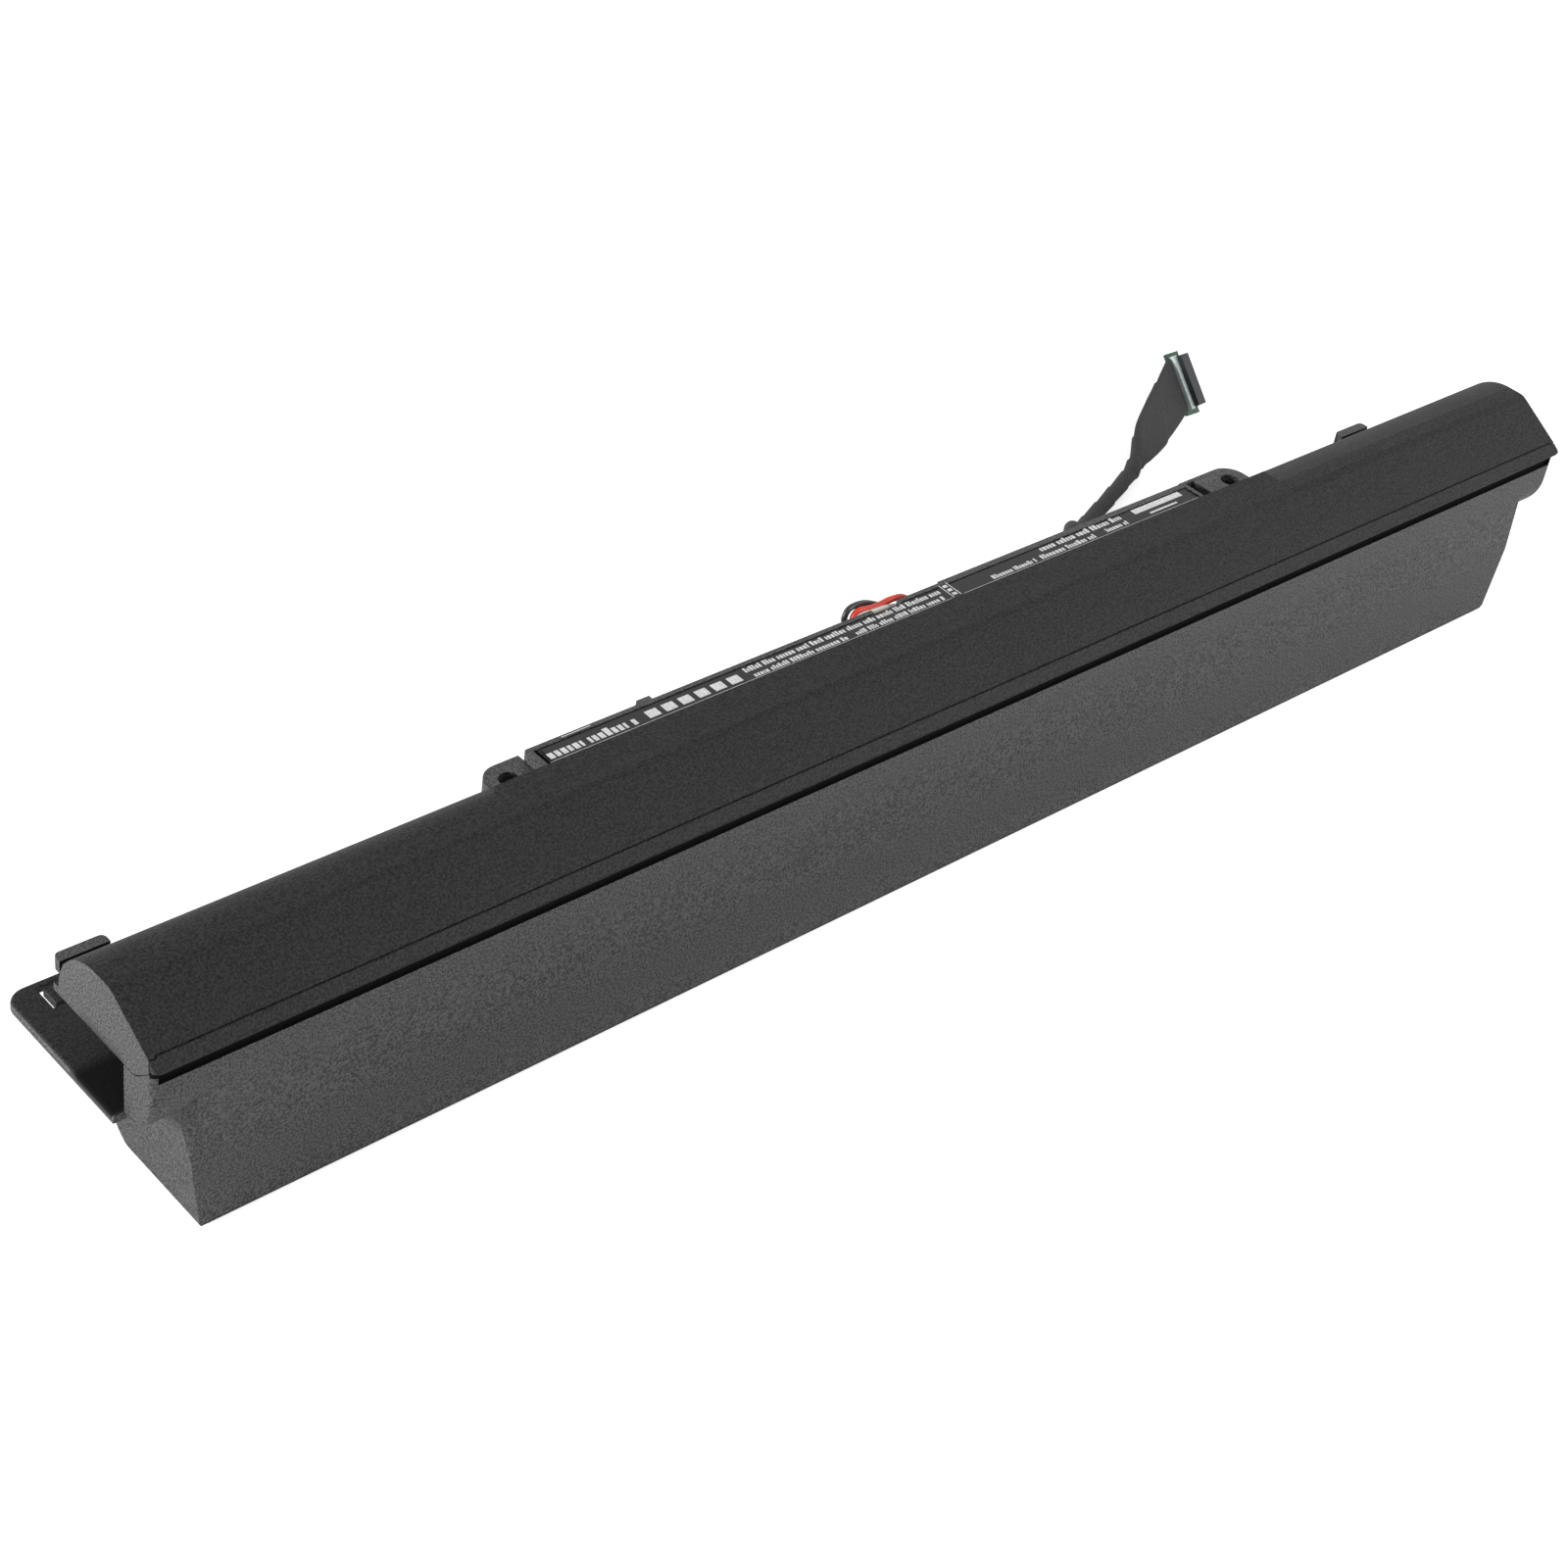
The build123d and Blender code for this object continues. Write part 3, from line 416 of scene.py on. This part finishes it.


# The drip groove is cut along the front, under the lip; its dark line is the cut together with
# painted shade inside it
GROOVE_END = 144.1
GROOVE_LOW = 29.95
GROOVE_HIGH = 32.05
GROOVE_DEPTH = 1.45
drip_groove = (at(-GROOVE_END, -1.0, GROOVE_LOW), at(GROOVE_END, GROOVE_DEPTH, GROOVE_HIGH))
housing = carved("housing_shell", "case", ["main_housing"], 0.18, drip_groove)
cover = carved("cover_shell", "cover", ["top_cover", "hinge_cover_left", "hinge_cover_right"], 0.22)
soften(nodes["bottom_cover"], 0.15)

# The lip's top face and the plate take the cover's darker colours in place of the case's painted
# light, and the groove's inside gets near-black painted shade
LIP_BACK = 2.2
LIP_LOW = 32.2
PLATE_TOP = 20.8
PLATE_MARGIN = 0.3
GROOVE_MOUTH = 0.45
GROOVE_MARGIN = 0.05
housing.data.materials.append(cover_plastic)
housing.data.materials.append(groove_shade_plastic)
for polygon in housing.data.polygons:
    depth = (polygon.center.y - FRONT) / MM
    height = polygon.center.z / MM
    lip_top = depth < LIP_BACK and height > LIP_LOW
    plate_top = depth > LIP_BACK and abs(height - PLATE_TOP) < PLATE_MARGIN
    groove_height = GROOVE_LOW - GROOVE_MARGIN < height < GROOVE_HIGH + GROOVE_MARGIN
    if lip_top or plate_top:
        polygon.material_index = 1
    elif groove_height and GROOVE_MOUTH < depth < GROOVE_DEPTH + GROOVE_MARGIN:
        polygon.material_index = 2

# Painted light: the cover's flat ends, which face the key lamp from the side, take the case's
# lighter colours
COVER_END = 143.0 * MM
END_NORMAL = 0.8
cover.data.materials.append(lit_case_plastic)
for polygon in cover.data.polygons:
    if abs(polygon.normal.x) > END_NORMAL and abs(polygon.center.x) > COVER_END:
        polygon.material_index = 1


# Print on the label: plain bars in rows, and a few plain blocks and lines; the two long thin lines
# along the label's front margin are a painted highlight of the cover's back edge

PRINT_LOW = 38.44
PRINT_HIGH = 38.48

# Each row's start and end along the pack, its depth, its height and its stroke
print_rows = [
    (-70.0, -53.4, 18.75, 1.75, 0.62),
    (-32.8, 7.3, 20.1, 1.05, 0.36),
    (-32.2, -13.3, 18.5, 0.95, 0.34),
    (-11.7, 7.1, 18.55, 0.95, 0.34),
    (17.6, 27.7, 18.6, 0.95, 0.34),
    (28.6, 41.4, 18.6, 1.05, 0.4),
    (30.1, 49.4, 20.3, 1.15, 0.42),
    (43.9, 49.3, 18.7, 0.95, 0.34),
]
# Each block's start and end along the pack, and its start and end in depth
print_and_highlight_blocks = [
    (-65.7, -60.5, 22.0, 22.13),
    (8.35, 8.47, 18.3, 21.9),
    (9.95, 10.07, 18.3, 21.9),
    (8.8, 9.6, 18.7, 19.3),
    (8.8, 9.6, 19.8, 20.4),
    (8.8, 9.6, 20.9, 21.5),
    (52.0, 63.5, 20.1, 21.3),
    (54.5, 61.0, 18.9, 19.3),
    # Painted highlight: these two thin light lines along the front margin stand for the cover's
    # back edge catching the light
    (-70.5, 7.9, 18.2, 18.28),
    (10.5, 65.5, 18.2, 18.28),
]
SQUARE_START, SQUARE_PITCH, SQUARE_WIDTH = -52.0, 3.1, 2.1
for index in range(6):
    left_x = SQUARE_START + SQUARE_PITCH * index
    print_and_highlight_blocks.append((left_x, left_x + SQUARE_WIDTH, 18.85, 20.5))


def bar(x0, x1, depth0, depth1):
    """Corners and faces of one thin raised bar."""
    return box_skin(at(x0, depth0, PRINT_LOW), at(x1, depth1, PRINT_HIGH))


def row_of_bars(x0, x1, depth, height, stroke):
    """Short bars with uneven widths and gaps, in groups."""
    bars = []
    x = x0
    group = random.randint(4, 8)
    while x < x1 - stroke:
        width = stroke * random.uniform(0.7, 1.5)
        tall = height * random.choice((0.72, 0.72, 1.0))
        bars.append(bar(x, min(x + width, x1), depth, depth + tall))
        x += width + stroke * 0.55
        group -= 1
        if group == 0:
            group = random.randint(4, 8)
            x += stroke * 1.1
    return bars


bars = [skin for row in print_rows for skin in row_of_bars(*row)]
bars += [bar(*block) for block in print_and_highlight_blocks]
print_and_highlight_vertices = []
print_and_highlight_faces = []
for corners, faces in bars:
    first = len(print_and_highlight_vertices)
    print_and_highlight_vertices += corners
    print_and_highlight_faces += [tuple(first + index for index in face) for face in faces]
label_print_and_highlight = mesh_object("label_print_and_highlight", print_and_highlight_vertices, print_and_highlight_faces)
place(label_print_and_highlight, "label", print_and_highlight_white)


# Taped cable

cable_points = [
    at(9.0, 25.2, 31.0),
    at(19.5, 25.6, 27.0),
    at(30.0, 26.2, 24.0),
    at(40.0, 27.8, 23.2),
    at(49.5, 30.8, 23.9),
    at(57.2, 36.0, 24.9),
    at(65.5, 42.4, 18.6),
    at(73.5, 48.4, 11.2),
    at(81.5, 54.0, 4.9),
    at(91.5, 59.4, 1.8),
    at(102.5, 63.6, 1.6),
    at(113.5, 68.0, 1.75),
]
CABLE_RADIUS = 1.5 * MM
CABLE_SIDES = 28
RING_SPACING = 0.35 * MM
TAPE_PITCH = 7.0 * MM
TAPE_STEP = 0.2 * MM


def even_path(points, spacing):
    """The route's smooth line, as points a set distance apart."""
    carrier = spline_object("route", points, 0.0)
    carrier.data.resolution_u = 24
    line = carrier.evaluated_get(bpy.context.evaluated_depsgraph_get())
    mesh = bpy.data.meshes.new_from_object(line)
    fine = [vertex.co.copy() for vertex in mesh.vertices]
    bpy.data.objects.remove(carrier)
    lengths = [0.0]
    for before, after in zip(fine, fine[1:]):
        lengths.append(lengths[-1] + (after - before).length)
    count = round(lengths[-1] / spacing)
    result = []
    segment = 0
    for step in range(count + 1):
        target = lengths[-1] * step / count
        while segment < len(lengths) - 2 and lengths[segment + 1] < target:
            segment += 1
        share = (target - lengths[segment]) / (lengths[segment + 1] - lengths[segment])
        result.append(fine[segment].lerp(fine[segment + 1], min(max(share, 0.0), 1.0)))
    return result


def taped_tube(name, path, radius):
    """A tube along a path, wound with tape whose edge steps up once a turn."""
    rings = []
    travelled = 0.0
    normal = Vector((0, 0, 1))
    for index, point in enumerate(path):
        before = path[max(index - 1, 0)]
        after = path[min(index + 1, len(path) - 1)]
        tangent = (after - before).normalized()
        travelled += (point - before).length
        normal = (normal - tangent * normal.dot(tangent)).normalized()
        side = tangent.cross(normal)
        ring = []
        for step in range(CABLE_SIDES):
            turn_share = step / CABLE_SIDES
            angle = math.tau * turn_share
            layer = (travelled / TAPE_PITCH + turn_share) % 1.0
            reach = radius - TAPE_STEP * 0.7 + TAPE_STEP * layer
            ring.append(point + normal * math.cos(angle) * reach + side * math.sin(angle) * reach)
        rings.append(ring)
    return loft(name, rings)


cable_path = even_path(cable_points, RING_SPACING)
cable = taped_tube("output_cable_tape", cable_path, CABLE_RADIUS)
smooth(cable, 25.0)
place(cable, "tape", tape, "output_cable")

# Flat end of the cable, from the round part to the plug: a point on its low edge and on its high
# edge, and its thickness in millimetres
flare_rows = [
    (at(112.6, 67.6, 0.25), at(112.2, 67.4, 3.25), 3.0),
    (at(117.0, 69.0, 0.3), at(115.4, 70.0, 4.6), 2.5),
    (at(121.0, 69.9, 0.35), at(118.4, 72.9, 6.2), 1.9),
    (at(124.0, 70.9, 0.4), at(121.2, 75.2, 7.1), 1.6),
    (at(129.5, 73.2, 0.4), at(127.0, 78.6, 7.6), 1.5),
    (at(134.7, 75.5, 0.45), at(133.0, 81.8, 8.0), 1.5),
    (at(138.5, 77.2, 0.7), at(137.8, 84.6, 8.6), 1.5),
    (at(141.5, 78.7, 1.0), at(141.9, 86.9, 9.2), 1.5),
]
# Tape edges on the flat end: the row at which each crosses the low and the high edge
tape_edges = [(0.25, 0.75), (1.1, 1.9), (3.9, 5.25)]
FLARE_STEP = 0.3 * MM
TAPE_FADE = 1.4
ROW_STEPS = 12
FLAT_STEPS = 12
ROUND_STEPS = 6
ROUND_PART_HEADING = Vector((0.925, 0.38, 0.0))


def catmull(values, index, share):
    """A smooth value between two of a list, through all of them."""
    last = len(values) - 1
    a, b, c, d = (values[min(max(index + step, 0), last)] for step in (-1, 0, 1, 2))
    return (
        b * 2
        + (c - a) * share
        + (a * 2 - b * 5 + c * 4 - d) * share**2
        + (b * 3 - a - c * 3 + d) * share**3
    ) * 0.5


def flat_ring(low, high, thickness, row):
    """A flat section with round ends across the cable, with the tape's steps."""
    across = high - low
    half = across.length / 2
    across.normalize()
    heading = Vector((across.y, -across.x, 0.0))
    if heading.length < 0.3:
        heading = ROUND_PART_HEADING
    normal = across.cross(heading).normalized()
    middle = (low + high) / 2
    radius = thickness * MM / 2
    flat = max(half - radius, 0.0)
    turns = [math.pi * step / ROUND_STEPS for step in range(1, ROUND_STEPS)]
    runs = [-flat + 2 * flat * step / FLAT_STEPS for step in range(FLAT_STEPS + 1)]
    outline = [(run, 1.0, 0.0) for run in runs]
    outline += [(flat, math.cos(angle), math.sin(angle)) for angle in turns]
    outline += [(-run, -1.0, 0.0) for run in runs]
    outline += [(-flat, -math.cos(angle), -math.sin(angle)) for angle in turns]
    ring = []
    for run, up, out in outline:
        share = (run + out * radius + half) / (2 * half)
        layer = 0.0
        for low_row, high_row in tape_edges:
            edge = low_row + (high_row - low_row) * share
            if row < edge:
                layer += max(0.0, 1.0 - (edge - row) / TAPE_FADE)
        reach = radius - FLARE_STEP * 0.6 + FLARE_STEP * layer
        ring.append(middle + across * (run + out * reach) + normal * up * reach)
    return ring


flare_rings = []
last_row = len(flare_rows) - 1
for step in range(last_row * ROW_STEPS + 1):
    index = min(step // ROW_STEPS, last_row - 1)
    share = step / ROW_STEPS - index
    low, high, thickness = (catmull(values, index, share) for values in zip(*flare_rows))
    flare_rings.append(flat_ring(low, high, thickness, index + share))
flare = loft("cable_flare_tape", flare_rings)
smooth(flare, 28.0)
place(flare, "tape", tape, "cable_flare")

plug_names = ("connector_board", "connector_strip", "connector_body")
for name in plug_names:
    soften(nodes[name], 0.12)


# Wires at the notch: out, back on themselves in a small loop, and into the tape

wire_routes = {
    "black": ("exit_wire_black", 0.5, [
        (-4.5, 21.4, 35.9), (-5.0, 23.8, 35.0), (-6.9, 24.9, 34.5), (-8.4, 25.1, 35.8),
        (-7.7, 25.2, 37.8), (-5.6, 25.4, 37.8), (-2.8, 26.4, 36.6), (0.6, 26.8, 34.8),
        (5.0, 26.3, 32.4), (9.8, 25.7, 30.4),
    ]),
    "white": ("exit_wire_white", 0.45, [
        (-3.2, 21.4, 35.9), (-4.2, 23.1, 35.2), (-6.4, 23.3, 35.3), (-8.0, 23.3, 36.2),
        (-6.6, 23.35, 37.35), (-3.8, 23.35, 37.05), (-0.5, 23.5, 36.7), (2.5, 23.8, 35.6),
        (5.8, 24.4, 33.4), (9.6, 24.8, 31.4),
    ]),
    "red_1": ("exit_wire_red_1", 0.5, [
        (-1.9, 21.4, 35.9), (-2.6, 24.0, 34.8), (-5.0, 24.4, 34.9), (-7.4, 24.4, 36.0),
        (-6.4, 24.4, 37.6), (-4.2, 24.4, 37.1), (-1.4, 24.45, 36.7), (1.8, 24.5, 37.1),
        (4.4, 24.7, 36.2), (7.0, 24.9, 33.4), (9.8, 25.7, 31.4),
    ]),
    "red_2": ("exit_wire_red_2", 0.5, [
        (-0.65, 21.4, 35.9), (-1.4, 24.2, 34.2), (-3.6, 25.3, 34.0), (-6.2, 25.4, 34.8),
        (-5.6, 25.4, 36.5), (-3.2, 25.45, 36.0), (-0.4, 25.5, 35.8), (2.6, 25.6, 36.1),
        (5.2, 25.6, 35.0), (7.6, 25.4, 32.6), (9.8, 24.8, 30.4),
    ]),
}
for name, (node, radius, route) in wire_routes.items():
    wire = spline_object(f"wire_{name}", [at(*point) for point in route], radius * MM)
    place(wire, slot_of[node], finishes[slot_of[node]], node)


# Floor, background and light

FLOOR_REACH = 12
FLOOR_GLOW = 0.57
WORLD_LIGHT = 0.5
WORLD_SEEN = 1.0

floor_corners = [
    (-FLOOR_REACH, -FLOOR_REACH, 0),
    (FLOOR_REACH, -FLOOR_REACH, 0),
    (FLOOR_REACH, FLOOR_REACH, 0),
    (-FLOOR_REACH, FLOOR_REACH, 0),
]
floor = mesh_object("floor", floor_corners, [(0, 1, 2, 3)])
floor_paint = new_material("floor_paint", (0.86, 0.86, 0.86), 0.9, specular=0.0)
floor_rays = add_node(floor_paint, "ShaderNodeLightPath").outputs
floor_glow = add_node(floor_paint, "ShaderNodeEmission")
floor_strength = calculate(floor_paint, "MULTIPLY", floor_rays["Is Camera Ray"], FLOOR_GLOW)
link(floor_paint, floor_strength, floor_glow.inputs["Strength"])
floor_sum = add_node(floor_paint, "ShaderNodeAddShader")
link(floor_paint, shader_of(floor_paint).outputs[0], floor_sum.inputs[0])
link(floor_paint, floor_glow.outputs[0], floor_sum.inputs[1])
floor_output = floor_paint.node_tree.nodes["Material Output"]
link(floor_paint, floor_sum.outputs[0], floor_output.inputs["Surface"])
floor.data.materials.append(floor_paint)

world = bpy.data.worlds.new("studio")
world.use_nodes = True
bpy.context.scene.world = world
background = world.node_tree.nodes["Background"]
background.inputs["Color"].default_value = (1, 1, 1, 1)
rays = add_node(world, "ShaderNodeLightPath").outputs
seen = calculate(world, "MAXIMUM", rays["Is Camera Ray"], rays["Is Glossy Ray"])
seen = calculate(world, "MAXIMUM", seen, rays["Is Transmission Ray"])
link(world, span(world, seen, WORLD_LIGHT, WORLD_SEEN), background.inputs["Strength"])


def lamp(name, position, target, size, power):
    """A rectangular lamp that faces its target."""
    data = bpy.data.lights.new(name, "AREA")
    data.shape = "RECTANGLE"
    data.size, data.size_y = size
    data.energy = power
    light = show(bpy.data.objects.new(name, data))
    light.location = position
    light.rotation_euler = (Vector(target) - Vector(position)).to_track_quat("-Z", "Y").to_euler()


lamp("key", (-0.8, 0.3, 0.2), (-0.14, 0.0, 0.03), (0.4, 0.3), 9.0)
lamp("fill", (0.4, -0.55, 0.4), (0.1, -0.05, 0.01), (0.5, 0.5), 4.2)
